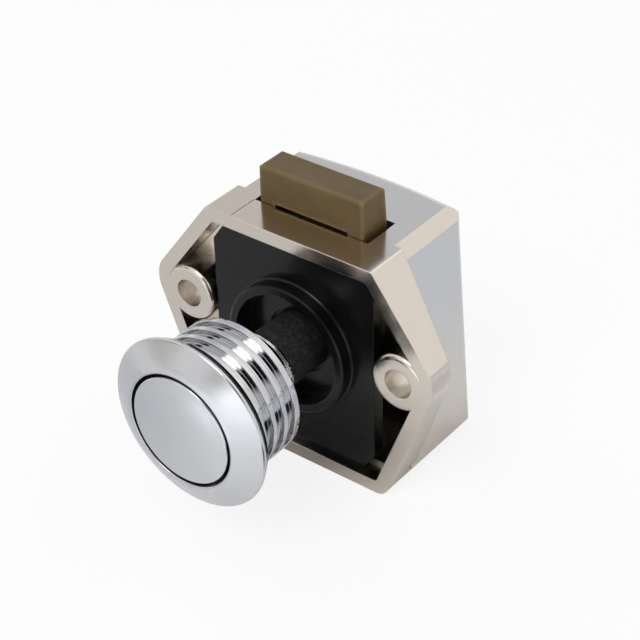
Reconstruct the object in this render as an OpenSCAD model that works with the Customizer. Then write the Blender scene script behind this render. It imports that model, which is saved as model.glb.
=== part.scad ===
// Push button cabinet lock: a rim lock with a push-push knob that draws a bolt up and down.
// The knob's axis is Y, with the front of the door towards -Y, and the bolt moves out along +Z.
// The origin lies on the knob's axis, in the plane where the housing meets the door.
// The pieces are drawn locked: the button is pushed in and the bolt is out.

/* [Housing] */
// Height of the top face above the knob's axis
top_height = 17.2; // [15.6:0.1:22]
// Depth of the bottom face below the knob's axis
bottom_depth = 18.5; // [17:0.1:24]
// Width across the top of the front flange
top_width = 27.2; // [26:0.1:32]
// Width across the bottom of the front flange
bottom_width = 31.2; // [28:0.1:36]
// Width of the box at its top
box_top_width = 27.5; // [26.4:0.1:32]
// Width of the box at its foot
box_foot_width = 33.5; // [28:0.1:36]
// Height of the box's foot above the flange's bottom
box_lift = 1.1; // [0:0.1:1.4]
// Width across both ears
ear_width = 46.4; // [45:0.1:52]
// Height of an ear's upper corner above the knob's axis
ear_top = 4.3; // [4:0.1:8]
// Height of an ear's lower corner above the knob's axis
ear_bottom = 1.6; // [-2:0.1:1.8]
// Radius of an ear's corners
ear_radius = 4.5; // [1:0.1:5]
// Radius of the front outline's bottom corners
foot_radius = 2; // [0.5:0.1:4]
// Depth of an ear at its tip
ear_tip_depth = 4; // [3.6:0.1:5.5]
// Depth of an ear where it meets the box
ear_root_depth = 6.8; // [6:0.1:9]
// Width of the front rim
rim_width = 2; // [1.4:0.1:3]
// Step behind the rim that the guide plate rests on
ledge = 0.8; // [0.4:0.1:1.6]
// Thickness of the box's side walls
side_wall = 1.6; // [1:0.1:2.2]
// Thickness of the box's rear wall
rear_wall = 2.4; // [1.8:0.1:4]
// Radius of the bowed rear face
rear_bow = 94; // [80:1:140]
// Radius of the box's rear corners
corner_radius = 1.8; // [0.6:0.1:2.5]
// Radius of the box's top rear edge
rear_top_radius = 2.4; // [0.5:0.1:3]
// Width of the bevel along the box's top edges
top_bevel = 1.35; // [0.4:0.05:2]
// Height of the bevel along the box's top edges
top_bevel_drop = 1.7; // [0.4:0.1:3]

/* [Screw holes] */
// Distance between the two screw holes
screw_spacing = 35.5; // [34:0.1:37]
// Height of the screw holes above the knob's axis
screw_height = 1.6; // [-1:0.1:3]
// Diameter of a screw hole
screw_hole = 4.2; // [3.4:0.1:5]
// Diameter of the boss around a screw hole
screw_boss = 8.6; // [7.4:0.1:9.4]
// Rounding of a boss's edge
boss_edge = 0.7; // [0.1:0.05:1.2]

/* [Guide plate] */
// Depth of the plate's face behind the housing's rim
plate_recess = 0.9; // [0.4:0.1:1.4]
// Thickness of the plate
plate_thickness = 2; // [1.7:0.1:3]
// Width of the cut at each corner of the plate
plate_cut_width = 2.2; // [1:0.1:5]
// Height of the cut at each corner of the plate
plate_cut_height = 3.2; // [1:0.1:6]
// Diameter of the plate's collar, which sits in the door's hole
collar_diameter = 19.4; // [18.6:0.1:21]
// How far the collar stands out of the plate's face
collar_height = 2; // [1.2:0.1:4]
// Width of the flare at the collar's foot
collar_flare = 0.2; // [0.2:0.1:2]
// Diameter of the counterbore in the collar
collar_bore = 16.8; // [14:0.1:17.4]
// Thickness of the floor of the counterbore
collar_floor = 1.1; // [0.8:0.1:1.6]
// Width of the bevel on the collar's front edge
collar_edge = 0.3; // [0.1:0.05:0.6]
// Width of the groove around the stem in the counterbore's floor
stem_groove = 0.45; // [0.2:0.05:0.8]
// Thickness of the rubber ring behind the plate
buffer_thickness = 1; // [0.6:0.1:2]

/* [Bolt] */
// Width of the bolt
bolt_width = 17.2; // [15.6:0.1:18.4]
// Thickness of the bolt
bolt_thickness = 4.8; // [4:0.1:6]
// Distance of the bolt behind the housing's front
bolt_setback = 5.3; // [5:0.1:6.5]
// How far the bolt stands out of the top face
bolt_projection = 5.6; // [4:0.1:7]
// How much narrower the bolt is at its top, on each side
bolt_draft = 0.2; // [0:0.05:0.5]
// How much thicker the bolt is at its foot
bolt_taper = 0.5; // [0:0.05:0.8]
// Rounding of the bolt's edges
bolt_edge = 0.4; // [0.1:0.05:0.8]
// Gap at each end of the bolt's slot
slot_end_gap = 0.75; // [0.3:0.05:1]
// Gap behind the bolt in its slot
slot_rear_gap = 0.6; // [0.3:0.1:1.2]
// Width of the recess in the bolt's front face
recess_width = 12; // [6:0.5:14]
// Height of the recess above the top face
recess_height = 0.35; // [0.2:0.05:1]

/* [Knob] */
// Thickness of the door
door_thickness = 19; // [16:0.5:22]
// Travel of the knob between locked and open
knob_travel = 9; // [6:0.5:10]
// Diameter of the button
button_diameter = 15.6; // [14:0.1:16]
// Height of the button's crown
button_crown = 0.5; // [0.2:0.1:1.5]
// Diameter of the rosette's flange
flange_diameter = 25; // [24:0.1:32]
// Height of the rosette's flange in front of the door
flange_height = 3.4; // [3:0.1:5]
// How far the flange's face falls back to its rim
flange_dome = 1.95; // [1:0.05:2.2]
// Gap between the button and the rosette
button_gap = 0.45; // [0.3:0.05:0.8]
// Diameter of the rosette's ribbed collar
rosette_collar = 20; // [19.2:0.1:22]
// Length of the rosette's ribbed collar
rosette_length = 8.6; // [8.4:0.1:12]
// Depth of the grooves between the ribs
rib_depth = 0.8; // [0.3:0.1:1]
// Width of the grooves between the ribs
groove_width = 1.4; // [0.8:0.1:1.5]
// Number of grooves
rib_grooves = 3; // [1:1:3]
// Distance from groove to groove
rib_pitch = 2.15; // [1.6:0.05:2.2]
// Outer diameter of the knob's sleeve
sleeve_diameter = 11.2; // [10.6:0.1:12.6]
// Distance of the sleeve's rear end in front of the housing
sleeve_gap = 6; // [3:0.1:7]
// Length of the stem inside the sleeve
stem_grip = 6; // [4:0.1:7]
// Diameter of the stem
stem_diameter = 8.8; // [8.4:0.1:9.4]

/* [Works] */
// Width of the carriage
carriage_width = 12.8; // [12:0.1:13.2]
// Length of the carriage along the knob's axis
carriage_length = 4.2; // [4:0.1:6]
// Height of the carriage above the knob's axis
carriage_rise = 5.4; // [5.1:0.1:5.8]
// Depth of the carriage below the knob's axis
carriage_drop = 7; // [6.4:0.1:7.6]
// Diameter of the two drive pins
drive_pin = 2.4; // [1.6:0.1:2.6]
// Outer diameter of the spring
spring_diameter = 5.5; // [5:0.1:5.6]
// Diameter of the spring's wire
spring_wire = 0.6; // [0.4:0.05:0.7]
// Number of turns of the spring
spring_turns = 12; // [8:1:16]
// Length of the follower's slider across the carriage
slider_length = 6; // [4:0.1:7]
// Width of the follower's slider
slider_width = 2.4; // [2:0.1:2.8]
// Height of the follower's slider
slider_height = 1.4; // [1:0.1:1.6]
// Distance that the follower slides sideways from locked to open
follower_shift = 0.8; // [0.4:0.1:1.2]
// Diameter of the follower's tip
follower_tip_size = 1.2; // [0.8:0.1:1.4]
// Thickness of the keeper plate under the carriage
keeper_thickness = 0.6; // [0.4:0.1:1]
// Thickness of the track plate
track_thickness = 2; // [1.6:0.1:3]
// Depth of the track in its plate
track_depth = 1; // [0.6:0.1:1.2]

/* [Hidden] */
$fn = 64;

// Clearances: a running fit, a sliding gap between flat faces, a fit of fixed pieces and an overshoot of cuts
running_fit = 0.05;
slide_gap = 0.1;
seat_fit = 0.02;
free_gap = 0.3;
over = 1;
// Number of straight pieces in a rounded corner and in a shallow arc
corner_steps = 8;
arc_steps = 10;

// Guide plate and the stack of pieces behind it, along Y
plate_seat = plate_recess + plate_thickness;
collar_front = plate_recess - collar_height;
collar_floor_y = plate_seat - collar_floor;
plate_half = screw_spacing / 2 - screw_boss / 2 - 1.5 * slide_gap;
buffer_rear = plate_seat + buffer_thickness;
carriage_front = buffer_rear + slide_gap + knob_travel;
carriage_rear = carriage_front + carriage_length;
circlip_thickness = 0.5;
stem_rear = carriage_rear + circlip_thickness + 0.3;
push_room = 0.8;
rear_inner = stem_rear + push_room;
rear_outer = rear_inner + rear_wall;

// Housing
roof = top_height - rim_width - ledge;
floor_z = -bottom_depth + rim_width + ledge;
foot_z = -bottom_depth + box_lift;
lean = atan((box_foot_width - box_top_width) / 2 / (top_height - foot_z));
lean_cover = ear_width * sin(lean);
lean_length = (top_height + bottom_depth) / cos(lean) + 2 * lean_cover;
box_half = box_top_width / 2 * cos(lean);
hollow_radius = 0.5;
bow_centre = rear_outer - rear_bow;
// The rear corners stand this far out of the bowed face, which cuts them
corner_lift = 0.08;
corner_bow = rear_bow + corner_lift;
corner_slope = asin((box_half - corner_radius) / (corner_bow - corner_radius));
corner_rear = bow_centre + (corner_bow - box_half * sin(corner_slope)) / cos(corner_slope);
rear_rake = atan((bow_sag(box_foot_width / 2) - bow_sag(box_top_width / 2)) / (top_height - foot_z));
ear_wall = 1.2;
ear_slope = (ear_root_depth - ear_tip_depth) / (ear_width / 2 - top_width / 2);
box_overlap = 1.3;
box_front = ear_root_depth - box_overlap;
foot_bevel = 1;
shoulder_radius = 0.5;
// Half of the outline's turn at an ear's two corners, and the largest radius that its tip has room for
ear_turn_low = atan((ear_width - bottom_width) / 2 / (ear_bottom + bottom_depth)) / 2;
ear_turn_high = atan((ear_width - top_width) / 2 / (top_height - ear_top)) / 2;
ear_room = (ear_top - ear_bottom) / (tan(ear_turn_low) + tan(ear_turn_high));
ear_round = min(ear_radius, ear_room - slide_gap);
seam_width = 0.12;
seam_depth = 0.6;
seam_front = 0.3;
rail_thickness = 1.4;
rail_front = plate_seat + 1.1;

// Knob
flange_back = -door_thickness;
flange_front = flange_back - flange_height;
button_half = button_diameter / 2;
rosette_bore = button_half + button_gap;
groove_edge = 0.15;
// Curve of the flange's face, and the rounding and slant of its rim
dome_power = 1.2;
rim_round = 0.25;
rim_slant = 0.9;
rosette_rear = flange_back + rosette_length;
groove_slant = 0.1;
rear_rib = 1.1;
button_edge = 0.25;
cap_rear = flange_front + 1.5;
skirt_wall = 0.9;
skirt_rear = flange_front + knob_travel + 2;
sleeve_half = sleeve_diameter / 2;
sleeve_rear = -sleeve_gap;
sleeve_lip = 0.15;
sleeve_lip_width = 0.5;
stem_half = stem_diameter / 2;
stem_front = sleeve_rear - stem_grip;
spigot_half = stem_half - 0.4;
post_half = stem_half - slide_gap;

// Spring and its guide
spring_half = spring_diameter / 2;
spring_bore = spring_half + 0.25;
spring_guide = spring_half - spring_wire - 0.35;
guide_front = plate_seat - 1;
guide_rear = rear_inner + rear_wall - 0.6;
screw_head_half = 2.6;
screw_head_height = 2;
screw_half = 1.5;
screw_tip_cover = 3.6;
screw_tip = cap_rear + screw_tip_cover;
stem_floor = -3;
washer_hole = 1.6;
washer_front = stem_floor + screw_head_height;
washer_rear = washer_front + 0.5;

// Bolt and its drive
bolt_half = bolt_width / 2;
bolt_sink = 0.3;
recess_depth = 2.6;
recess_foot = top_height - 2;
bolt_travel = bolt_projection + bolt_sink;
bolt_rear = bolt_setback + bolt_thickness;
bolt_foot_rear = bolt_rear + bolt_taper;
cheek_outer = bolt_half;
cheek_inner = carriage_width / 2 + free_gap;
cheek_margin = 1.2;
cheek_top = roof - 0.2;
bridge_bottom = carriage_rise + bolt_travel + 0.6;
pin_half = drive_pin / 2;
pin_y = carriage_front + carriage_length / 2;
pin_inner = spigot_half + 0.4;
pin_outer = cheek_outer - 0.2;
cam_half = pin_half + running_fit;
cheek_front = pin_y - knob_travel - cam_half - cheek_margin;
cheek_rear = pin_y + cam_half + cheek_margin;
cheek_bottom = -cam_half - cheek_margin;

// Follower and track
tip_half = follower_tip_size / 2;
slider_bottom = -carriage_drop;
slider_top = slider_bottom + slider_height;
keeper_bottom = slider_bottom - keeper_thickness;
track_top = keeper_bottom - free_gap;
track_floor = track_top - track_depth;
track_bottom = track_top - track_thickness;
track_run_half = tip_half + 0.25;
tip_bottom = track_floor + 0.2;
track_half = 5.8;
track_rear = rear_inner - 0.45;
track_bulge = 1.9;
open_tip_y = pin_y - knob_travel;
track_screw_x = 3.9;
track_screw_y = open_tip_y + 0.5;
track_screw_half = 0.8;
track_screw_head = 1.4;
track_screw_length = 5;
post_radius = 1.8;
track_front = track_screw_y - post_radius;

// How far the bowed rear face lies forwards at a distance from the middle
function bow_sag(x) = rear_bow - sqrt(pow(rear_bow, 2) - pow(x, 2));

// Point at the given angle and distance from a centre
function polar(centre, radius, angle) = centre + radius * [cos(angle), sin(angle)];

// Points along an arc
function arc(centre, radius, from, to, steps) =
    [for (k = [0 : steps]) polar(centre, radius, from + (to - from) * k / steps)];

// Vector of length one
function unit(v) = v / norm(v);

// Arc that rounds the corner at b, between its neighbours a and c
function corner(a, b, c, radius) =
    let (
        back = unit(a - b),
        ahead = unit(c - b),
        half = acos(back * ahead) / 2,
        centre = b + unit(back + ahead) * radius / sin(half),
        first = b + back * radius / tan(half) - centre,
        last = b + ahead * radius / tan(half) - centre,
        from = atan2(first.y, first.x),
        turn = atan2(last.y, last.x) - from,
        sweep = turn > 180 ? turn - 360 : turn < -180 ? turn + 360 : turn
    )
    arc(centre, radius, from, from + sweep, corner_steps);

// Outline with each corner rounded to its own radius
function rounded(points, radii) = [
    for (i = [0 : len(points) - 1])
        let (
            a = points[(i + len(points) - 1) % len(points)],
            c = points[(i + 1) % len(points)]
        )
        each radii[i] == 0 ? [points[i]] : corner(a, points[i], c, radii[i])
];

// Outline moved inwards by a distance, for points that run anticlockwise
function inset(points, distance) = [
    for (i = [0 : len(points) - 1])
        let (
            a = points[(i + len(points) - 1) % len(points)],
            b = points[i],
            c = points[(i + 1) % len(points)],
            u = unit(b - a),
            v = unit(c - b),
            n = [-u.y, u.x],
            m = [-v.y, v.x]
        )
        b + distance * (n + m) / (1 + n * m)
];

// The right half of a front outline and its mirror image, as one loop
function both_sides(half) = concat(half, [for (i = [len(half) - 1 : -1 : 0]) [-half[i].x, half[i].y]]);

// Shape drawn in the front view, from y0 back to y1
module along_y(y0, y1) {
    translate([0, y1, 0]) rotate([90, 0, 0]) linear_extrude(y1 - y0) children();
}

// Round rod along the knob's axis
module rod_y(radius, y0, y1) {
    translate([0, y1, 0]) rotate([90, 0, 0]) cylinder(r = radius, h = y1 - y0);
}

// Round rod upwards from z0 to z1
module rod_z(radius, x, y, z0, z1) {
    translate([x, y, z0]) cylinder(r = radius, h = z1 - z0);
}

// Shape turned about the knob's axis, from points of radius and y
module turned(points) {
    rotate([90, 0, 0]) rotate_extrude() polygon([for (p = points) [p.x, -p.y]]);
}

// Block between two corners
module block(low, high) {
    translate(low) cube(high - low);
}

// The children and their mirror image across the lock's middle
module on_both_sides() {
    children();
    mirror([1, 0, 0]) children();
}

front_corners = both_sides([
    [bottom_width / 2, -bottom_depth],
    [ear_width / 2, ear_bottom],
    [ear_width / 2, ear_top],
    [top_width / 2, top_height]
]);
front_radii = concat(
    [foot_radius, ear_round, ear_round, shoulder_radius],
    [shoulder_radius, ear_round, ear_round, foot_radius]
);
inner_radius = 0.6;

// Depth profile of the ears, seen from above, moved forwards by a wall
function ear_profile(wall) = both_sides([
    [ear_width / 2 + over, -over],
    [ear_width / 2 + over, ear_tip_depth - ear_slope * over - wall],
    [top_width / 2, ear_root_depth - wall]
]);

// Front flange with its two wedge shaped ears, cut to a depth profile
module flange(outline, y0, y1, wall) {
    intersection() {
        along_y(y0, y1) polygon(outline);
        translate([0, 0, -bottom_depth - over])
            linear_extrude(top_height + bottom_depth + 2 * over) polygon(ear_profile(wall));
    }
}

// Plan of half a box: its side, a rounded rear corner and a rear that slopes back to the middle
function half_plan(half, front, rear, slope, radius) = rounded(
    [
        [-ear_width, front],
        [half, front],
        [half, rear],
        [-ear_width, rear + (half + ear_width) * tan(slope)]
    ],
    [0, 0, radius, 0]
);

// Half of a box whose side leans out towards the bottom, with its rear raked forwards there
module leaning_half(outline, rake) {
    translate([0, 0, top_height]) rotate([-rake, -lean, 0]) translate([0, 0, lean_cover - lean_length])
        linear_extrude(lean_length) polygon(outline);
}

// Box between two leaning sides, from z0 up to z1
module box(outline, rake, z0, z1) {
    intersection() {
        leaning_half(outline, rake);
        mirror([1, 0, 0]) leaning_half(outline, rake);
        block([-ear_width, 0, z0], [ear_width, rear_outer + over, z1]);
    }
}

// Hollow of the box, inside a side wall
module hollow(wall, rear, z0, z1) {
    box(half_plan(box_half - wall, plate_seat, rear, 0, hollow_radius), 0, z0, z1);
}

// Wide round plate with the bowed rear face and its rounded top edge
module rear_rim() {
    sector = 2 * asin(ear_width / 2 / rear_bow);
    edge = [rear_bow - rear_top_radius, top_height - rear_top_radius];
    profile = concat(
        [[rear_bow / 2, -bottom_depth - over], [rear_bow, -bottom_depth - over]],
        arc(edge, rear_top_radius, 0, 90, corner_steps),
        [[rear_bow / 2, top_height]]
    );
    translate([0, bow_centre, 0]) rotate([0, 0, 90 - sector / 2])
        rotate_extrude(angle = sector, $fn = 360) polygon(profile);
}

// Wedge that bevels one long edge of the box, by dx along the face and dz down the side
module edge_wedge(x, z, dx, dz) {
    tip = x + over;
    along_y(0, rear_outer + over) polygon([[x - dx, z], [tip, z - dz * (1 + over / dx)], [tip, z]]);
}

// Places of the two screw holes
module at_screws() {
    on_both_sides() translate([screw_spacing / 2, 0, screw_height]) children();
}

module housing_shell() {
    inner = rounded(inset(front_corners, rim_width), [for (r = front_radii) inner_radius]);
    outer = half_plan(box_half, box_front, corner_rear, corner_slope, corner_radius);
    difference() {
        union() {
            flange(rounded(front_corners, front_radii), 0, ear_root_depth, 0);
            difference() {
                intersection() {
                    box(outer, rear_rake, foot_z, top_height);
                    rear_rim();
                }
                on_both_sides() edge_wedge(box_top_width / 2, top_height, top_bevel, top_bevel_drop);
                on_both_sides() edge_wedge(box_foot_width / 2, foot_z, foot_bevel, -foot_bevel);
            }
        }
        along_y(-over, plate_seat) polygon(inner);
        intersection() {
            flange(inner, plate_seat - over, ear_root_depth, ear_wall);
            block([-ear_width, 0, floor_z], [ear_width, ear_root_depth, roof]);
        }
        hollow(side_wall, rear_inner, floor_z, roof);
    }
}

// Ribs inside the housing: the bolt's two rails, the track plate's posts and its rear rest
module housing_ribs() {
    rail_inner = bolt_half + slide_gap;
    rail_foot = cheek_bottom - bolt_travel;
    on_both_sides()
        block([rail_inner, rail_front, rail_foot], [rail_inner + rail_thickness, rear_outer, top_height]);
    on_both_sides() rod_z(post_radius, track_screw_x, track_screw_y, -bottom_depth, track_bottom);
    block([-track_half, track_rear - over, -bottom_depth], [track_half, rear_outer, track_bottom]);
}

module bolt_slot() {
    slot_half = bolt_half + slot_end_gap;
    slot_front = bolt_setback - slide_gap;
    seam_left = -slot_half - seam_width;
    top = top_height + over;
    block([-slot_half, slot_front, roof - over], [slot_half, bolt_foot_rear + slot_rear_gap, top]);
    block([seam_left, seam_front, top_height - seam_depth], [-slot_half, bolt_setback, top]);
}

module housing() {
    hole_half = screw_hole / 2;
    boss_half = screw_boss / 2;
    boss_foot = [boss_half, ear_root_depth];
    boss = concat(
        [[0, 0]],
        corner([0, 0], [boss_half, 0], boss_foot, boss_edge),
        [boss_foot, [0, ear_root_depth]]
    );
    pilot_foot = track_top - track_screw_length - 0.3;
    color("lightgray") difference() {
        union() {
            housing_shell();
            intersection() {
                flange(rounded(front_corners, front_radii), 0, ear_root_depth, 0);
                at_screws() turned(boss);
            }
            intersection() {
                hollow(side_wall / 2, rear_inner + rear_wall / 4, (floor_z + foot_z) / 2, roof + ledge / 2);
                housing_ribs();
            }
        }
        at_screws() rod_y(hole_half, -over, ear_root_depth + over);
        bolt_slot();
        rod_y(spring_guide + seat_fit, rear_inner - over, guide_rear + seat_fit);
        on_both_sides()
            rod_z(track_screw_half + seat_fit, track_screw_x, track_screw_y, pilot_foot, track_top);
    }
}

module guide_plate() {
    collar_half = collar_diameter / 2;
    flare_front = plate_recess - collar_flare;
    plate_top = top_height - rim_width - slide_gap / 2;
    plate_foot = -bottom_depth + rim_width + slide_gap / 2;
    outline = both_sides([
        [plate_half - plate_cut_width, plate_foot],
        [plate_half, plate_foot + plate_cut_height],
        [plate_half, plate_top - plate_cut_height],
        [plate_half - plate_cut_width, plate_top]
    ]);
    color([0.1, 0.1, 0.11]) difference() {
        union() {
            along_y(plate_recess, plate_seat) polygon(outline);
            turned([
                [0, collar_front],
                [collar_half - collar_edge, collar_front],
                [collar_half, collar_front + collar_edge / 2],
                [collar_half, flare_front],
                [collar_half + collar_flare, plate_recess],
                [collar_half + collar_flare, plate_seat - ledge],
                [0, plate_seat - ledge]
            ]);
        }
        rod_y(collar_bore / 2, collar_front - over, collar_floor_y);
        rod_y(stem_half + stem_groove, collar_front, collar_floor_y + collar_floor / 2);
        rod_y(stem_half + running_fit, collar_front, plate_seat + over);
    }
}

module rosette() {
    collar_half = rosette_collar / 2;
    flange_half = flange_diameter / 2;
    inner_edge = rosette_bore + groove_edge;
    dome_width = flange_half - inner_edge;
    dome = [
        for (k = [0 : arc_steps])
            let (t = k / arc_steps)
            [inner_edge + dome_width * t, flange_front + flange_dome * pow(t, dome_power)]
    ];
    face = [for (k = [0 : arc_steps - 1]) dome[k]];
    rim_foot = [flange_half - rim_slant, flange_back];
    rim = corner(dome[arc_steps - 1], dome[arc_steps], rim_foot, rim_round);
    grooves = [
        for (i = [rib_grooves - 1 : -1 : 0])
            let (
                rear = rosette_rear - rear_rib - i * rib_pitch,
                front = rear - groove_width,
                floor_half = collar_half - rib_depth
            )
            each [
                [collar_half, front],
                [floor_half, front + groove_slant],
                [floor_half, rear - groove_slant],
                [collar_half, rear]
            ]
    ];
    color("silver") turned(concat(
        [[rosette_bore, flange_front + groove_edge]],
        face,
        rim,
        [rim_foot, [collar_half, flange_back]],
        grooves,
        [
            [collar_half, rosette_rear - groove_edge],
            [collar_half - groove_edge, rosette_rear],
            [rosette_bore, rosette_rear]
        ]
    ));
}

module buffer_ring() {
    buffer_width = 0.9;
    color([0.15, 0.15, 0.15]) turned([
        [stem_half + slide_gap, plate_seat],
        [stem_half + slide_gap + buffer_width, plate_seat],
        [stem_half + slide_gap + buffer_width, buffer_rear],
        [stem_half + slide_gap, buffer_rear]
    ]);
}

module spring_pin() {
    color("gray") turned([
        [0, guide_front],
        [spring_guide - groove_edge, guide_front],
        [spring_guide, guide_front + groove_edge],
        [spring_guide, guide_rear],
        [0, guide_rear]
    ]);
}

// One straight run of the follower's track
module track_run(from, to) {
    run = to - from;
    rod_z(track_run_half, from.x, from.y, track_floor, track_top + over);
    rod_z(track_run_half, to.x, to.y, track_floor, track_top + over);
    translate([from.x, from.y, track_floor]) rotate([0, 0, atan2(run.y, run.x)])
        translate([0, -track_run_half, 0]) cube([norm(run), 2 * track_run_half, track_depth + over]);
}

module track_plate() {
    locked = [0, pin_y];
    open = [-follower_shift, open_tip_y];
    turn_front = [track_bulge, open_tip_y + track_bulge];
    turn_rear = [track_bulge, pin_y - track_bulge];
    loop = [locked, open, turn_front, turn_rear];
    color("white") difference() {
        block([-track_half, track_front, track_bottom], [track_half, track_rear, track_top]);
        for (i = [0 : len(loop) - 1]) track_run(loop[i], loop[(i + 1) % len(loop)]);
        on_both_sides() track_screw(seat_fit);
    }
}

// Countersunk screw of the track plate, grown by a fit where it is a hole
module track_screw(fit) {
    sink = track_screw_head - track_screw_half;
    translate([track_screw_x, track_screw_y, track_top]) rotate_extrude() polygon([
        [0, -track_screw_length - fit],
        [track_screw_half + fit, -track_screw_length - fit],
        [track_screw_half + fit, -sink],
        [track_screw_head + fit, 0],
        [track_screw_head + fit, fit],
        [0, fit]
    ]);
}

module track_screws() {
    slot_width = 0.4;
    slot_depth = 0.35;
    color("gray") on_both_sides() difference() {
        track_screw(0);
        translate([track_screw_x - slot_width / 2, track_screw_y - track_screw_head, track_top - slot_depth])
            cube([slot_width, 2 * track_screw_head, slot_depth + over]);
    }
}

module button() {
    crown = [
        for (k = [0 : arc_steps])
            let (r = (button_half - button_edge) * k / arc_steps)
            [r, flange_front - button_crown * (1 - pow(r / button_half, 2))]
    ];
    color("silver") difference() {
        turned(concat(
            crown,
            [
                [button_half, flange_front + button_edge],
                [button_half, skirt_rear],
                [button_half - skirt_wall, skirt_rear],
                [button_half - skirt_wall, cap_rear],
                [post_half, cap_rear],
                [post_half, stem_front - seat_fit],
                [0, stem_front - seat_fit]
            ]
        ));
        rod_y(screw_half + seat_fit, screw_tip - 0.3, stem_front);
    }
}

module knob_sleeve() {
    bore = stem_half + seat_fit;
    color("silver") turned([
        [bore, cap_rear + seat_fit],
        [sleeve_half, cap_rear + seat_fit],
        [sleeve_half, sleeve_rear - sleeve_lip_width - groove_edge],
        [sleeve_half + sleeve_lip, sleeve_rear - sleeve_lip_width],
        [sleeve_half + sleeve_lip, sleeve_rear - groove_edge],
        [sleeve_half, sleeve_rear],
        [bore, sleeve_rear]
    ]);
}

module stem() {
    groove_half = spigot_half - 0.4;
    color([0.09, 0.09, 0.1]) difference() {
        turned([
            [0, stem_front],
            [stem_half, stem_front],
            [stem_half, carriage_front],
            [spigot_half, carriage_front],
            [spigot_half, carriage_rear],
            [groove_half, carriage_rear],
            [groove_half, carriage_rear + circlip_thickness],
            [spigot_half, carriage_rear + circlip_thickness],
            [spigot_half, stem_rear],
            [0, stem_rear]
        ]);
        rod_y(spring_bore, stem_floor, stem_rear + over);
        rod_y(screw_half + running_fit, stem_front - over, stem_floor + over);
    }
}

module knob_screw() {
    recess_width = 0.6;
    recess_length = 3;
    recess_depth = 0.8;
    color("gray") difference() {
        turned([
            [0, screw_tip],
            [screw_half - groove_edge, screw_tip],
            [screw_half, screw_tip + groove_edge],
            [screw_half, stem_floor],
            [screw_head_half, stem_floor],
            [screw_head_half, washer_front],
            [0, washer_front]
        ]);
        for (a = [0, 90])
            rotate([0, a, 0]) block(
                [-recess_length / 2, washer_front - recess_depth, -recess_width / 2],
                [recess_length / 2, washer_front + over, recess_width / 2]
            );
    }
}

module seat_washer() {
    color("gray") turned([
        [washer_hole, washer_front],
        [spring_half, washer_front],
        [spring_half, washer_rear],
        [washer_hole, washer_rear]
    ]);
}

// Groove under the carriage that the follower's slider runs in
module slider_groove() {
    half = slider_width / 2 + running_fit;
    block(
        [-carriage_width, pin_y - half, slider_bottom - over],
        [carriage_width, pin_y + half, slider_top + running_fit]
    );
}

module carriage() {
    color("white") difference() {
        block(
            [-carriage_width / 2, carriage_front, -carriage_drop],
            [carriage_width / 2, carriage_rear, carriage_rise]
        );
        rod_y(spigot_half + seat_fit, carriage_front - over, carriage_rear + over);
        on_both_sides() translate([pin_inner - seat_fit, pin_y, 0]) rotate([0, 90, 0])
            cylinder(r = pin_half + seat_fit, h = carriage_width);
        slider_groove();
    }
}

module stem_circlip() {
    inner = spigot_half - 0.4 + seat_fit;
    outer = spigot_half + 0.8;
    mouth = 2.4;
    color("gray") difference() {
        turned([
            [inner, carriage_rear + seat_fit],
            [outer, carriage_rear + seat_fit],
            [outer, carriage_rear + circlip_thickness - seat_fit],
            [inner, carriage_rear + circlip_thickness - seat_fit]
        ]);
        block([-mouth / 2, carriage_rear - over, 0], [mouth / 2, stem_rear + over, stem_diameter]);
    }
}

module drive_pins() {
    color("gray") on_both_sides() translate([pin_inner, pin_y, 0]) rotate([0, 90, 0])
        cylinder(r = pin_half, h = pin_outer - pin_inner);
}

module follower_keeper() {
    slot_half = tip_half + free_gap;
    slot_reach = follower_shift + track_bulge + slot_half;
    color("gray") difference() {
        block(
            [-carriage_width / 2, carriage_front, keeper_bottom],
            [carriage_width / 2, carriage_rear, slider_bottom]
        );
        block(
            [-slot_reach, pin_y - slot_half, keeper_bottom - over],
            [slot_reach, pin_y + slot_half, slider_bottom + over]
        );
    }
}

module follower_slider() {
    color("gray") difference() {
        block(
            [-slider_length / 2, pin_y - slider_width / 2, slider_bottom + running_fit],
            [slider_length / 2, pin_y + slider_width / 2, slider_top]
        );
        rod_z(tip_half + seat_fit, 0, pin_y, slider_bottom - over, slider_top + over);
    }
}

module follower_tip() {
    color("gray") rod_z(tip_half, 0, pin_y, tip_bottom, slider_top);
}

// Stadium shaped slot through a cheek of the bolt, along the path of its drive pin
module cam_slot() {
    path = [-knob_travel, bolt_travel];
    slope = atan2(path.y, path.x);
    width = cheek_outer - cheek_inner + 2 * over;
    translate([cheek_inner - over, pin_y, 0]) rotate([slope, 0, 0]) {
        rotate([0, 90, 0]) cylinder(r = cam_half, h = width);
        translate([0, norm(path), 0]) rotate([0, 90, 0]) cylinder(r = cam_half, h = width);
        translate([0, 0, -cam_half]) cube([width, norm(path), 2 * cam_half]);
    }
}

// Bar of the bolt, with its edges rounded in all three views
module bolt_head() {
    top = top_height + bolt_projection;
    side = rounded(
        [
            [bolt_setback, bridge_bottom],
            [bolt_foot_rear, bridge_bottom],
            [bolt_foot_rear, roof],
            [bolt_rear, top],
            [bolt_setback, top]
        ],
        [0, 0, 0, bolt_edge, bolt_edge]
    );
    front = rounded(
        both_sides([[bolt_half, bridge_bottom], [bolt_half, roof], [bolt_half - bolt_draft, top]]),
        [0, 0, bolt_edge, bolt_edge, 0, 0]
    );
    plan = rounded(
        both_sides([[bolt_half, bolt_setback], [bolt_half, bolt_foot_rear]]),
        [bolt_edge, bolt_edge, bolt_edge, bolt_edge]
    );
    intersection() {
        along_y(bolt_setback, bolt_foot_rear) polygon(front);
        translate([-bolt_half, 0, 0]) rotate([90, 0, 90]) linear_extrude(bolt_width) polygon(side);
        translate([0, 0, bridge_bottom]) linear_extrude(top - bridge_bottom) polygon(plan);
    }
}

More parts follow.
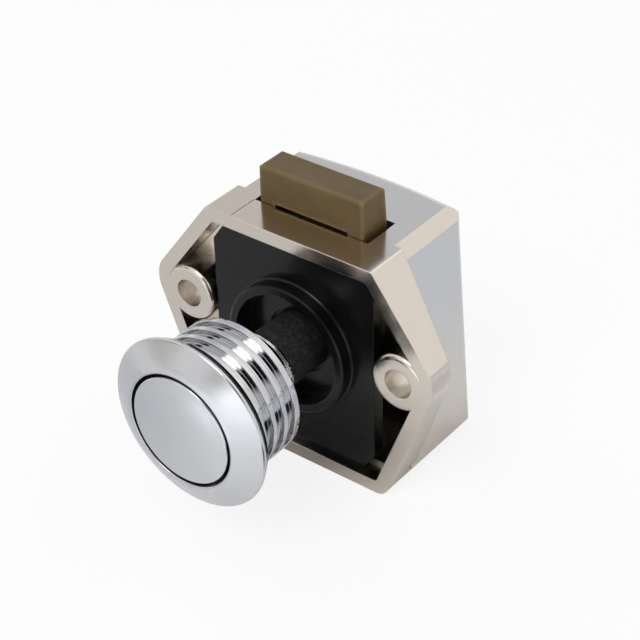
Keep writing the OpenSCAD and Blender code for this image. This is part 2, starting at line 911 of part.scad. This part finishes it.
module latch_bolt() {
    color([0.45, 0.36, 0.22]) difference() {
        union() {
            bolt_head();
            on_both_sides()
                block([cheek_inner, cheek_front, cheek_bottom], [cheek_outer, cheek_rear, cheek_top]);
        }
        on_both_sides() cam_slot();
        block(
            [-recess_width / 2, bolt_setback - over, recess_foot],
            [recess_width / 2, bolt_setback + recess_depth, top_height + recess_height]
        );
    }
}

// Helical tube about the knob's axis, with six sides and flat ends
module knob_spring() {
    sides = 6;
    rings_per_turn = 8;
    wire_half = spring_wire / 2;
    coil_half = spring_half - wire_half;
    rings = spring_turns * rings_per_turn;
    first = washer_rear + wire_half + seat_fit;
    last = rear_inner - wire_half - seat_fit;
    rise = (last - first) / (2 * PI * spring_turns);
    points = [
        for (i = [0 : rings])
            let (
                turn = 360 * i / rings_per_turn,
                outward = [cos(turn), 0, sin(turn)],
                middle = coil_half * outward + [0, first + (last - first) * i / rings, 0],
                ahead = unit([-coil_half * sin(turn), rise, coil_half * cos(turn)]),
                across = cross(ahead, outward)
            )
            for (k = [0 : sides - 1])
                middle + wire_half * (cos(360 * k / sides) * outward + sin(360 * k / sides) * across)
    ];
    skin = [
        for (i = [0 : rings - 1], k = [0 : sides - 1])
            let (
                a = i * sides + k,
                b = i * sides + (k + 1) % sides
            )
            each [[a, b, b + sides], [a, b + sides, a + sides]]
    ];
    front_cap = [for (k = [1 : sides - 2]) [0, k + 1, k]];
    rear_cap = [for (k = [1 : sides - 2]) [rings * sides, rings * sides + k, rings * sides + k + 1]];
    color("gray") polyhedron(points, concat(skin, front_cap, rear_cap));
}

housing();
guide_plate();
rosette();
buffer_ring();
spring_pin();
track_plate();
track_screws();
button();
knob_sleeve();
stem();
knob_screw();
seat_washer();
carriage();
stem_circlip();
drive_pins();
follower_keeper();
follower_slider();
follower_tip();
latch_bolt();
knob_spring();
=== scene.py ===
"""Looks of the push button cabinet lock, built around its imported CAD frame.

Lengths are in millimetres where a name or a comment says so, and in metres elsewhere.
"""

from math import atan2, cos, pi, radians, sin, tan

import bpy
from mathutils import Matrix, Quaternion, Vector


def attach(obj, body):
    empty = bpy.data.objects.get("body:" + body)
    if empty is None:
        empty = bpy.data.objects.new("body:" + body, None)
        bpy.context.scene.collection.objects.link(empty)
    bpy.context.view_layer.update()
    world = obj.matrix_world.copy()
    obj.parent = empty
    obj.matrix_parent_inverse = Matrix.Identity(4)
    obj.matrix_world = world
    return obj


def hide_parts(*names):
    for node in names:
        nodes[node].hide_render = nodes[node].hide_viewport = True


MM = 0.001

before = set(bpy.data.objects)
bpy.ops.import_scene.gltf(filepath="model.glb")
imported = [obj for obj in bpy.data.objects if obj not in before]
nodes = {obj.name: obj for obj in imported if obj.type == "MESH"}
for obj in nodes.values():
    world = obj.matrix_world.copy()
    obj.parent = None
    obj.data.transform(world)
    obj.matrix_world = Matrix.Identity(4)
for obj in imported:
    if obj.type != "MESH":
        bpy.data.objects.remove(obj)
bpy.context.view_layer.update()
scene = bpy.context.scene
scene.view_settings.view_transform = "Standard"


# Camera, with its distance, aim and sensor in millimetres

CAMERA_AZIMUTH = radians(38.51)
CAMERA_ELEVATION = radians(35.23)
CAMERA_ROLL = radians(-1.57)
CAMERA_DISTANCE = 238.66
CAMERA_AIM = (-4.05, -3.57)
FOCAL_PIXELS = 1778.87
PHOTO_PIXELS = 640
SENSOR_WIDTH = 36.0
CLIP_NEAR = 0.01
CLIP_FAR = 50.0


def add_camera():
    """Place the camera at the photograph's viewing angle."""
    right = Vector((cos(CAMERA_AZIMUTH), sin(CAMERA_AZIMUTH), 0))
    back = Vector((
        sin(CAMERA_AZIMUTH) * cos(CAMERA_ELEVATION),
        -cos(CAMERA_AZIMUTH) * cos(CAMERA_ELEVATION),
        sin(CAMERA_ELEVATION),
    ))
    up = back.cross(right)
    rolled_right = right * cos(CAMERA_ROLL) + up * sin(CAMERA_ROLL)
    rolled_up = up * cos(CAMERA_ROLL) - right * sin(CAMERA_ROLL)
    place = back * CAMERA_DISTANCE - rolled_right * CAMERA_AIM[0] - rolled_up * CAMERA_AIM[1]
    data = bpy.data.cameras.new("camera")
    data.sensor_width = SENSOR_WIDTH
    data.lens = SENSOR_WIDTH * FOCAL_PIXELS / PHOTO_PIXELS
    data.clip_start = CLIP_NEAR
    data.clip_end = CLIP_FAR
    camera = bpy.data.objects.new("camera", data)
    axes = Matrix((rolled_right, rolled_up, back)).transposed()
    camera.matrix_world = Matrix.Translation(place * MM) @ axes.to_4x4()
    scene.collection.objects.link(camera)
    scene.camera = camera


# Materials: the span that noise mostly lies in, heights of bumps, roundings of edges and reaches of masks

NOISE_LOW = 0.3
NOISE_HIGH = 0.7
FINE_BUMP = 0.01 * MM
GRAIN_BUMP = 0.02 * MM
CAST_EDGE = 0.15 * MM
BOLT_EDGE = 0.25 * MM
HOLLOW_REACH = 4 * MM
# The next reach is that of the painted edge highlight on the bolt
EDGE_HIGHLIGHT_REACH = 0.7 * MM
CHROME_BAND = 0.1 * MM


class Shader:
    """A node material, with short calls for the nodes used here."""

    def __init__(self, name):
        self.material = bpy.data.materials.new(name)
        self.material.use_nodes = True
        self.tree = self.material.node_tree
        self.surface = self.tree.nodes["Principled BSDF"]
        self.place = self.node("ShaderNodeTexCoord").outputs["Object"]

    def node(self, kind, **settings):
        """Add a node with the given settings."""
        made = self.tree.nodes.new(kind)
        for key, value in settings.items():
            setattr(made, key, value)
        return made

    def put(self, value, socket):
        """Link a socket, or set a plain value."""
        if isinstance(value, bpy.types.NodeSocket):
            self.tree.links.new(value, socket)
        else:
            socket.default_value = value

    def noise(self, scale, detail=3.0, stretch=(1, 1, 1)):
        """Noise from 0 to 1, whose scale is in waves per metre."""
        mapping = self.node("ShaderNodeMapping")
        mapping.inputs["Scale"].default_value = stretch
        self.put(self.place, mapping.inputs["Vector"])
        noise = self.node("ShaderNodeTexNoise")
        noise.inputs["Scale"].default_value = scale
        noise.inputs["Detail"].default_value = detail
        self.put(mapping.outputs["Vector"], noise.inputs["Vector"])
        return noise.outputs["Fac"]

    def span(self, value, low, high, from_low=NOISE_LOW, from_high=NOISE_HIGH):
        """Map a value from one span to another, held at the ends."""
        ranged = self.node("ShaderNodeMapRange")
        self.put(value, ranged.inputs["Value"])
        ranged.inputs["From Min"].default_value = from_low
        ranged.inputs["From Max"].default_value = from_high
        self.put(low, ranged.inputs["To Min"])
        self.put(high, ranged.inputs["To Max"])
        return ranged.outputs["Result"]

    def math(self, operation, a, b):
        """Work out one operation on two values."""
        made = self.node("ShaderNodeMath", operation=operation)
        self.put(a, made.inputs[0])
        self.put(b, made.inputs[1])
        return made.outputs["Value"]

    def mix(self, factor, a, b):
        """Mix two colours."""
        made = self.node("ShaderNodeMix", data_type="RGBA")
        self.put(factor, made.inputs["Factor"])
        colours = [s for s in made.inputs if s.type == "RGBA"]
        self.put(a, colours[0])
        self.put(b, colours[1])
        return [s for s in made.outputs if s.type == "RGBA"][0]

    def cloudy(self, clouds, first, second):
        """Colour that drifts between two colours with a noise."""
        return self.mix(self.span(clouds, 0.0, 1.0), (*first, 1), (*second, 1))

    def rounded_edges(self, radius):
        """Normal that rounds sharp edges over a radius."""
        bevel = self.node("ShaderNodeBevel", samples=6)
        bevel.inputs["Radius"].default_value = radius
        return bevel.outputs["Normal"]

    def bump(self, height, strength, distance, normal=None):
        """Normal that follows a height, on top of another normal if one is given."""
        made = self.node("ShaderNodeBump")
        made.inputs["Strength"].default_value = strength
        made.inputs["Distance"].default_value = distance
        self.put(height, made.inputs["Height"])
        if normal is not None:
            self.put(normal, made.inputs["Normal"])
        return made.outputs["Normal"]

    def inner_faces(self, reach):
        """Mask that is 1 deep inside hollows."""
        shade = self.node("ShaderNodeAmbientOcclusion", samples=8, only_local=True)
        shade.inputs["Distance"].default_value = reach
        return self.span(shade.outputs["AO"], 1.0, 0.0, from_low=0.4, from_high=0.7)

    def edge_highlight_mask(self, reach):
        """Mask that is 1 along convex edges, where the solid is thin."""
        shade = self.node("ShaderNodeAmbientOcclusion", samples=8, inside=True, only_local=True)
        shade.inputs["Distance"].default_value = reach
        return self.span(shade.outputs["AO"], 1.0, 0.0, from_low=0.5, from_high=0.95)

    def show(self, shader_output):
        """Make a shader's output the material's surface."""
        self.put(shader_output, self.tree.nodes["Material Output"].inputs["Surface"])

    def finish(self, colour, roughness, normal=None, metallic=0.0):
        """Set the surface and return the material."""
        self.put(colour, self.surface.inputs["Base Color"])
        self.put(roughness, self.surface.inputs["Roughness"])
        self.surface.inputs["Metallic"].default_value = metallic
        if normal is not None:
            self.put(normal, self.surface.inputs["Normal"])
        return self.material


def nickel():
    """Satin nickel plating on a casting, with faint cloudiness and fine grain, and duller inside."""
    shader = Shader("nickel_plate")
    clouds = shader.noise(180, detail=4)
    grain = shader.noise(5200, detail=2)
    shade = shader.math("ADD", shader.span(clouds, 0.0, 0.5), shader.span(grain, 0.0, 0.5))
    colour = shader.mix(shade, (0.70, 0.64, 0.565, 1), (0.66, 0.60, 0.53, 1))
    polished = shader.span(clouds, 0.13, 0.17)
    dull = shader.math("MULTIPLY", shader.inner_faces(HOLLOW_REACH), 0.3)
    roughness = shader.math("ADD", polished, dull)
    normal = shader.bump(grain, 0.10, GRAIN_BUMP, shader.rounded_edges(CAST_EDGE))
    return shader.finish(colour, roughness, normal, metallic=1.0)


def chrome(name, face, behind, edge):
    """Chrome plating with faint smears and fine polishing marks.

    Its roughness changes from the front face to the part behind, at an edge in y.
    """
    shader = Shader(name)
    smears = shader.noise(150, detail=4)
    marks = shader.noise(2500, detail=2, stretch=(1, 0.2, 1))
    colour = shader.cloudy(smears, (0.585, 0.59, 0.605), (0.555, 0.56, 0.575))
    axes = shader.node("ShaderNodeSeparateXYZ")
    shader.put(shader.place, axes.inputs["Vector"])
    rough = shader.span(axes.outputs["Y"], face, behind, edge - CHROME_BAND, edge + CHROME_BAND)
    smeared = shader.math("MULTIPLY", rough, shader.span(smears, 0.85, 1.2))
    normal = shader.bump(marks, 0.02, FINE_BUMP)
    return shader.finish(colour, smeared, normal, metallic=1.0)


def black_plastic(name, shade, shine, roughness, grain_strength, dust=0.0):
    """Black moulding with a fine moulded grain and specks of dust."""
    shader = Shader(name)
    clouds = shader.noise(220, detail=3)
    grain = shader.noise(6500, detail=3)
    body = shader.cloudy(clouds, (shade,) * 3, (1.5 * shade,) * 3)
    scatter = shader.noise(3600, detail=3, stretch=(1, 0.4, 1))
    specks = shader.span(scatter, 0.0, dust, from_low=0.45, from_high=0.8)
    colour = shader.mix(specks, body, (0.12, 0.12, 0.118, 1))
    rough = shader.span(clouds, roughness, 1.25 * roughness)
    normal = shader.bump(grain, grain_strength, GRAIN_BUMP, shader.rounded_edges(CAST_EDGE))
    shader.surface.inputs["Specular IOR Level"].default_value = shine
    return shader.finish(colour, rough, normal)


def bronze():
    """Satin antique bronze plating, with a painted highlight that lightens its convex edges."""
    shader = Shader("bronze_plate")
    clouds = shader.noise(260, detail=5)
    grain = shader.noise(7000, detail=2)
    body = shader.cloudy(clouds, (0.154, 0.106, 0.046), (0.128, 0.088, 0.037))
    # Painted highlight: the colour is lighter along the convex edges, where rounded edges catch the light
    edges = shader.math("MULTIPLY", shader.edge_highlight_mask(EDGE_HIGHLIGHT_REACH), 0.6)
    colour = shader.mix(edges, body, (0.30, 0.225, 0.12, 1))
    roughness = shader.span(clouds, 0.42, 0.52)
    normal = shader.bump(grain, 0.12, GRAIN_BUMP, shader.rounded_edges(BOLT_EDGE))
    return shader.finish(colour, roughness, normal, metallic=0.6)


def steel():
    """Zinc plated steel of the hidden works."""
    shader = Shader("plain_steel")
    clouds = shader.noise(400, detail=4)
    colour = shader.cloudy(clouds, (0.55, 0.55, 0.56), (0.46, 0.46, 0.48))
    normal = shader.bump(shader.noise(4000, detail=2), 0.08, FINE_BUMP)
    return shader.finish(colour, shader.span(clouds, 0.25, 0.38), normal, metallic=1.0)


def white_plastic():
    """Natural acetal of the hidden works."""
    shader = Shader("white_plastic")
    clouds = shader.noise(300, detail=3)
    colour = shader.cloudy(clouds, (0.78, 0.77, 0.73), (0.72, 0.71, 0.67))
    normal = shader.bump(shader.noise(5000, detail=2), 0.08, FINE_BUMP)
    return shader.finish(colour, shader.span(clouds, 0.35, 0.45), normal)


def rubber():
    """Matt black rubber."""
    shader = Shader("rubber")
    grain = shader.noise(3500, detail=3)
    colour = shader.mix(grain, (0.02, 0.02, 0.02, 1), (0.035, 0.035, 0.035, 1))
    return shader.finish(colour, shader.span(grain, 0.6, 0.75), shader.bump(grain, 0.2, GRAIN_BUMP))


def dress(material, *names):
    """Give CAD nodes a material."""
    for name in names:
        slots = nodes[name].data.materials
        slots.clear()
        slots.append(material)


# Turned pieces, from profiles of radius and y in millimetres

TURN_STEPS = 192
ARC_STEPS = 6
HOLD = 0.03
SHARP_ANGLE = radians(32)


def rounded(points):
    """Profile points with each corner (radius, y, rounding) replaced by an arc.

    A holding point on each side of an arc keeps the straight parts flat under smooth shading.
    """
    out = []
    count = len(points)
    for i, (r, y, rounding) in enumerate(points):
        here = Vector((r, y))
        if not rounding:
            out.append((r, y))
            continue
        before = (Vector(points[i - 1][:2]) - here).normalized()
        after = (Vector(points[(i + 1) % count][:2]) - here).normalized()
        half = before.angle(after) / 2
        centre = here + (before + after).normalized() * rounding / sin(half)
        reach = rounding / tan(half)
        first = here + before * reach - centre
        last = here + after * reach - centre
        start = atan2(first.y, first.x)
        sweep = (atan2(last.y, last.x) - start + pi) % (2 * pi) - pi
        out.append(tuple(here + before * (reach + HOLD)))
        for k in range(ARC_STEPS + 1):
            angle = start + sweep * k / ARC_STEPS
            out.append((centre.x + rounding * cos(angle), centre.y + rounding * sin(angle)))
        out.append(tuple(here + after * (reach + HOLD)))
    return out


def turned(name, profile, material, body, replaced):
    """Mesh turned about the knob's axis from a closed profile, in place of a CAD node."""
    count = len(profile)
    verts = []
    for i in range(TURN_STEPS):
        angle = 2 * pi * i / TURN_STEPS
        verts += [(r * MM * cos(angle), y * MM, r * MM * sin(angle)) for r, y in profile]
    faces = []
    for i in range(TURN_STEPS):
        ahead = (i + 1) % TURN_STEPS
        for k in range(count):
            beside = (k + 1) % count
            faces.append((i * count + k, i * count + beside, ahead * count + beside, ahead * count + k))
    mesh = bpy.data.meshes.new(name)
    mesh.from_pydata(verts, [], faces)
    mesh.update()
    mesh.shade_smooth()
    mesh.set_sharp_from_angle(angle=SHARP_ANGLE)
    mesh.materials.append(material)
    piece = bpy.data.objects.new(name, mesh)
    scene.collection.objects.link(piece)
    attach(piece, body)
    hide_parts(replaced)


# Surroundings

UNIT_SQUARE = ((-1, -1), (1, -1), (1, 1), (-1, 1))
FLOOR_HALF = 3.0
FLOOR_HEIGHT = -18.52 * MM
FLOOR_WHITENESS = 0.85
LAMP_DISTANCE = 0.9
LAMP_COLOUR = (1.0, 0.97, 0.93)
WORLD_COLOUR = (0.95, 0.98, 1.0, 1)
WORLD_STRENGTH = 0.45
WHITE = (1, 1, 1, 1)
# A card is full up to a share of its radius, fades to its edge and is a little uneven
CARD_FULL = 0.5
CARD_DIMMING = 0.92
CARD_DISTANCE = 0.5
NEAR_DISTANCE = 0.45
LAYER_HEIGHT = 0.1 * MM


def add_sheet(name, corners, material):
    """One flat sheet of the studio."""
    mesh = bpy.data.meshes.new(name)
    mesh.from_pydata(corners, [], [(0, 1, 2, 3)])
    mesh.materials.append(material)
    sheet = bpy.data.objects.new(name, mesh)
    scene.collection.objects.link(sheet)
    return sheet


def add_floor():
    """Pale floor that the housing stands on, whose shadow shows softly to the camera."""
    shader = Shader("floor")
    paper = shader.noise(40, detail=4)
    colour = shader.mix(paper, (0.93, 0.94, 0.95, 1), (0.95, 0.96, 0.97, 1))
    material = shader.finish(colour, 0.9)
    path = shader.node("ShaderNodeLightPath")
    white = shader.node("ShaderNodeEmission")
    blend = shader.node("ShaderNodeMixShader")
    shader.put(shader.math("MULTIPLY", path.outputs["Is Camera Ray"], FLOOR_WHITENESS), blend.inputs["Fac"])
    shader.put(shader.surface.outputs["BSDF"], blend.inputs[1])
    shader.put(white.outputs["Emission"], blend.inputs[2])
    shader.show(blend.outputs["Shader"])
    add_sheet("floor", [(x * FLOOR_HALF, y * FLOOR_HALF, FLOOR_HEIGHT) for x, y in UNIT_SQUARE], material)


def direction(azimuth, elevation):
    """Direction from the lock, at an angle from the front, -Y, towards +X, and an angle upwards."""
    side = radians(azimuth)
    rise = radians(elevation)
    return Vector((sin(side) * cos(rise), -cos(side) * cos(rise), sin(rise)))


def add_card(name, centre, facing, size, colour, spin=0):
    """Glowing studio panel with a soft edge, which shows in reflections only."""
    shader = Shader(name)
    reach = shader.node("ShaderNodeVectorMath", operation="LENGTH")
    shader.put(shader.place, reach.inputs[0])
    cloth = shader.noise(3, detail=3)
    dim = tuple(CARD_DIMMING * c for c in colour)
    glow = shader.node("ShaderNodeEmission")
    shader.put(shader.mix(cloth, (*colour, 1), (*dim, 1)), glow.inputs["Color"])
    clear = shader.node("ShaderNodeBsdfTransparent")
    blend = shader.node("ShaderNodeMixShader")
    shader.put(shader.span(reach.outputs["Value"], 1.0, 0.0, CARD_FULL, 1.0), blend.inputs["Fac"])
    shader.put(clear.outputs["BSDF"], blend.inputs[1])
    shader.put(glow.outputs["Emission"], blend.inputs[2])
    shader.show(blend.outputs["Shader"])
    card = add_sheet(name, [(x, y, 0) for x, y in UNIT_SQUARE], shader.material)
    turn = Vector(facing).to_track_quat("Z", "Y") @ Quaternion((0, 0, 1), radians(spin))
    card.matrix_world = Matrix.LocRotScale(Vector(centre), turn, Vector((size[0] / 2, size[1] / 2, 1)))
    card.visible_camera = False
    card.visible_diffuse = False
    card.visible_shadow = False


def add_wall_card(name, angles, size, colour, distance=CARD_DISTANCE):
    """Panel that faces the lock from some way off, at an azimuth and an elevation."""
    away = direction(*angles)
    add_card(name, away * distance, -away, size, colour)


def add_table_card(name, place, size, colour, layer, spin=0):
    """Panel that lies on the floor, in a layer of its own where panels overlap."""
    add_card(name, (*place, FLOOR_HEIGHT + LAYER_HEIGHT * layer), (0, 0, 1), size, colour, spin)


def add_world():
    """Soft light from all around, which shows white to the camera and to reflections."""
    world = bpy.data.worlds.new("studio")
    world.use_nodes = True
    tree = world.node_tree
    tree.nodes.clear()
    path = tree.nodes.new("ShaderNodeLightPath")
    seen = path.outputs["Is Camera Ray"]
    for name in ("Is Glossy Ray", "Is Transmission Ray"):
        either = tree.nodes.new("ShaderNodeMath")
        either.operation = "MAXIMUM"
        tree.links.new(seen, either.inputs[0])
        tree.links.new(path.outputs[name], either.inputs[1])
        seen = either.outputs["Value"]
    light = tree.nodes.new("ShaderNodeBackground")
    light.inputs["Color"].default_value = WORLD_COLOUR
    light.inputs["Strength"].default_value = WORLD_STRENGTH
    shown = tree.nodes.new("ShaderNodeBackground")
    shown.inputs["Color"].default_value = WHITE
    shown.inputs["Strength"].default_value = 1.0
    choice = tree.nodes.new("ShaderNodeMixShader")
    tree.links.new(seen, choice.inputs["Fac"])
    tree.links.new(light.outputs["Background"], choice.inputs[1])
    tree.links.new(shown.outputs["Background"], choice.inputs[2])
    out = tree.nodes.new("ShaderNodeOutputWorld")
    tree.links.new(choice.outputs["Shader"], out.inputs["Surface"])
    scene.world = world


def add_lamp(name, angles, size, power):
    """Square soft box that faces the lock, whose hard edges stay out of reflections."""
    place = direction(*angles) * LAMP_DISTANCE
    data = bpy.data.lights.new(name, "AREA")
    data.size = size
    data.energy = power
    data.color = LAMP_COLOUR
    lamp = bpy.data.objects.new(name, data)
    lamp.location = place
    lamp.rotation_euler = (-place).to_track_quat("-Z", "Y").to_euler()
    lamp.visible_glossy = False
    scene.collection.objects.link(lamp)


add_camera()
add_floor()
add_world()
add_lamp("key", (5, 51), size=0.4, power=3.4)
add_lamp("rear", (145, 46), size=0.8, power=1.0)
add_lamp("left", (-100, 42), size=0.6, power=1.5)

# Reflections: glows at two lamps, a dark camera side, a dim left, a pale back and a bright horizon in front
add_wall_card("key_glow", (5, 51), size=(0.26, 0.26), colour=(6.0, 5.9, 5.7))
add_wall_card("rear_glow", (145, 50), size=(0.62, 0.40), colour=(1.28, 1.28, 1.26))
add_wall_card("camera_side", (38, 34), size=(0.42, 0.42), colour=(0.015, 0.015, 0.018))
add_wall_card("room_left", (-58, 12), size=(0.50, 0.40), colour=(0.72, 0.69, 0.62))
add_wall_card("room_corner", (-46, 25), size=(0.17, 0.13), colour=(0.03, 0.03, 0.03), distance=NEAR_DISTANCE)
add_wall_card("room_front", (-7, 9), size=(0.15, 0.08), colour=(0.45, 0.42, 0.40))
add_wall_card("horizon", (7, 1), size=(0.24, 0.08), colour=(2.0, 2.03, 2.1), distance=NEAR_DISTANCE)
add_wall_card("back_wall", (-143, 30), size=(0.60, 0.44), colour=(0.70, 0.77, 0.89))
add_wall_card("back_left", (-131, 31), size=(0.20, 0.34), colour=(0.75, 0.735, 0.74), distance=NEAR_DISTANCE)

# Painted reflections of the table: panels that are bright in front, and dim at both sides and under the
# camera, where they paint its shade
add_table_card("table_front", (0.03, -0.275), size=(0.30, 0.54), colour=(1.6, 1.63, 1.7), layer=1)
add_table_card("table_spot", (-0.008, -0.066), size=(0.036, 0.034), colour=(1.8, 1.84, 1.95), layer=3)
add_table_card("table_camera", (0.042, -0.036), size=(0.045, 0.04), colour=(0.03, 0.03, 0.03), layer=3)
add_table_card("table_right", (0.075, 0.06), size=(0.14, 0.16), colour=(0.74, 0.83, 0.97), layer=2)
add_table_card(
    "table_ear", (0.06, 0.0345), size=(0.10, 0.022), colour=(0.72, 0.70, 0.71), layer=3, spin=35.6
)
add_table_card("table_left", (-0.05, -0.02), size=(0.10, 0.12), colour=(0.77, 0.78, 0.81), layer=2)

nickel_plate = nickel()
rosette_chrome = chrome("rosette_chrome", face=0.22, behind=0.04, edge=-19.6 * MM)
button_chrome = chrome("button_chrome", face=0.20, behind=0.12, edge=-21.8 * MM)
sleeve_chrome = chrome("sleeve_chrome", face=0.06, behind=0.04, edge=-8.0 * MM)
black_plate = black_plastic("black_plate", shade=0.004, shine=0.24, roughness=0.18, grain_strength=0.05)
black_stem = black_plastic(
    "black_stem", shade=0.010, shine=0.35, roughness=0.5, grain_strength=0.9, dust=0.35
)

dress(nickel_plate, "housing")
dress(black_plate, "guide_plate")
dress(black_stem, "stem")
dress(bronze(), "latch_bolt")
dress(rubber(), "buffer_ring")
dress(white_plastic(), "track_plate", "carriage")
dress(
    steel(),
    "spring_pin", "track_screws", "knob_screw", "seat_washer", "stem_circlip", "drive_pins",
    "follower_keeper", "follower_slider", "follower_tip", "knob_spring",
)


# Knob: rosette, button and sleeve, with the sizes of the CAD part in millimetres

FLANGE_FRONT = -22.4
FLANGE_BACK = -19.0
FLANGE_HALF = 12.5
FLANGE_DOME = 1.95
DOME_POWER = 1.2
DOME_STEPS = 10
RIM_SLANT = 0.9
BORE = 8.25
COLLAR_HALF = 10.0
RIB_DEPTH = 0.8
RIB_PITCH = 2.15
GROOVES = 3
GROOVE_WIDTH = 1.4
REAR_RIB = 1.1
ROSETTE_REAR = -10.4
BUTTON_HALF = 7.8
BUTTON_CROWN = 0.5
CAP_THICKNESS = 1.5
SKIRT_LENGTH = 11.0
SKIRT_WALL = 0.9
SLEEVE_HALF = 5.6
SLEEVE_BORE = 4.42
SLEEVE_REAR = -6.0
LIP_WIDTH = 0.5
SEAT_FIT = 0.02
SMALL_EDGE = 0.15
# Steeper groove walls and rounder edges than the CAD part has, and a pinhole on the axis
GROOVE_SLANT = 0.03
RIM_ROUND = 0.4
BUTTON_ROUND = 0.25
BUTTON_MARGIN = 0.3
BUTTON_LIFT = 0.02
SOFT_ROUND = 0.2
FINE_ROUND = 0.1
GROOVE_ROUND = 0.08
LIP_ROUND = 0.07
PINHOLE = 0.02


def rosette_profile():
    """Domed flange with a thin rim, and the ribbed collar behind it."""
    inner = BORE + SMALL_EDGE
    width = FLANGE_HALF - inner
    steps = [k / DOME_STEPS for k in range(DOME_STEPS)]
    points = [(inner + width * t, FLANGE_FRONT + FLANGE_DOME * t ** DOME_POWER, 0) for t in steps]
    points += [
        (FLANGE_HALF, FLANGE_FRONT + FLANGE_DOME, RIM_ROUND),
        (FLANGE_HALF - RIM_SLANT, FLANGE_BACK, FINE_ROUND),
        (COLLAR_HALF, FLANGE_BACK, 0),
    ]
    for i in reversed(range(GROOVES)):
        rear = ROSETTE_REAR - REAR_RIB - i * RIB_PITCH
        front = rear - GROOVE_WIDTH
        points += [
            (COLLAR_HALF, front, FINE_ROUND),
            (COLLAR_HALF - RIB_DEPTH, front + GROOVE_SLANT, GROOVE_ROUND),
            (COLLAR_HALF - RIB_DEPTH, rear - GROOVE_SLANT, GROOVE_ROUND),
            (COLLAR_HALF, rear, FINE_ROUND),
        ]
    points += [
        (COLLAR_HALF, ROSETTE_REAR, SOFT_ROUND),
        (BORE, ROSETTE_REAR, SMALL_EDGE),
        (BORE, FLANGE_FRONT, SMALL_EDGE),
    ]
    return rounded(points)


def button_profile():
    """Low crown with a rounded edge, and a skirt behind it."""
    cap_rear = FLANGE_FRONT + CAP_THICKNESS
    skirt_rear = FLANGE_FRONT + SKIRT_LENGTH
    skirt_inner = BUTTON_HALF - SKIRT_WALL
    points = [(PINHOLE, FLANGE_FRONT - BUTTON_CROWN, 0)]
    for k in range(1, DOME_STEPS + 1):
        r = (BUTTON_HALF - BUTTON_MARGIN) * k / DOME_STEPS
        points.append((r, FLANGE_FRONT - BUTTON_CROWN * (1 - (r / BUTTON_HALF) ** 2), 0))
    points += [
        (BUTTON_HALF, FLANGE_FRONT - BUTTON_LIFT, BUTTON_ROUND),
        (BUTTON_HALF, skirt_rear, FINE_ROUND),
        (skirt_inner, skirt_rear, FINE_ROUND),
        (skirt_inner, cap_rear, SOFT_ROUND),
        (PINHOLE, cap_rear, 0),
    ]
    return rounded(points)


def sleeve_profile():
    """Tube with a small rounded lip at its rear end."""
    front = FLANGE_FRONT + CAP_THICKNESS + SEAT_FIT
    lip = SLEEVE_HALF + SMALL_EDGE
    lip_front = SLEEVE_REAR - LIP_WIDTH
    return rounded([
        (SLEEVE_BORE, front, 0),
        (SLEEVE_HALF, front, FINE_ROUND),
        (SLEEVE_HALF, lip_front - SMALL_EDGE, FINE_ROUND),
        (lip, lip_front, LIP_ROUND),
        (lip, SLEEVE_REAR, SOFT_ROUND),
        (SLEEVE_BORE, SLEEVE_REAR, FINE_ROUND),
    ])


turned("rosette_turned", rosette_profile(), rosette_chrome, "base", "rosette")
turned("button_turned", button_profile(), button_chrome, "knob", "button")
turned("sleeve_turned", sleeve_profile(), sleeve_chrome, "knob", "knob_sleeve")
